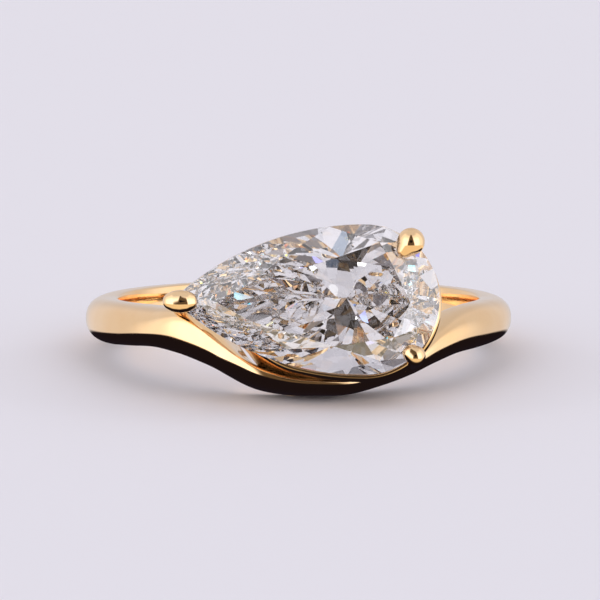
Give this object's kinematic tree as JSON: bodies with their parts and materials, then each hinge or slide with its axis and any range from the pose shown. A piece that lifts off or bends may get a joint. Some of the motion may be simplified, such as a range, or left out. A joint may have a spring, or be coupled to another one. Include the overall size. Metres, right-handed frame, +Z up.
{
  "type": "pear engagement ring",
  "caption": "Gold solitaire ring with a pear brilliant, set sideways in prongs and a gallery wire over a swooping domed band, lying on its side.",
  "frame": {"origin": "centre of the finger hole, on its axis, at the height of the middle of the band's back", "axes": "+Z up from the surface that the ring lies on, +X along the pear towards its round end, +Y away from the stone, through the hole to the band's back"},
  "size_m": [0.0196, 0.0225, 0.0082],
  "materials": {
    "gold": "polished yellow gold",
    "diamond": "clear, cut and polished"
  },
  "bodies": {
    "root": {"ring_mount": "gold", "pear_stone": "diamond"}
  },
  "joints": []
}
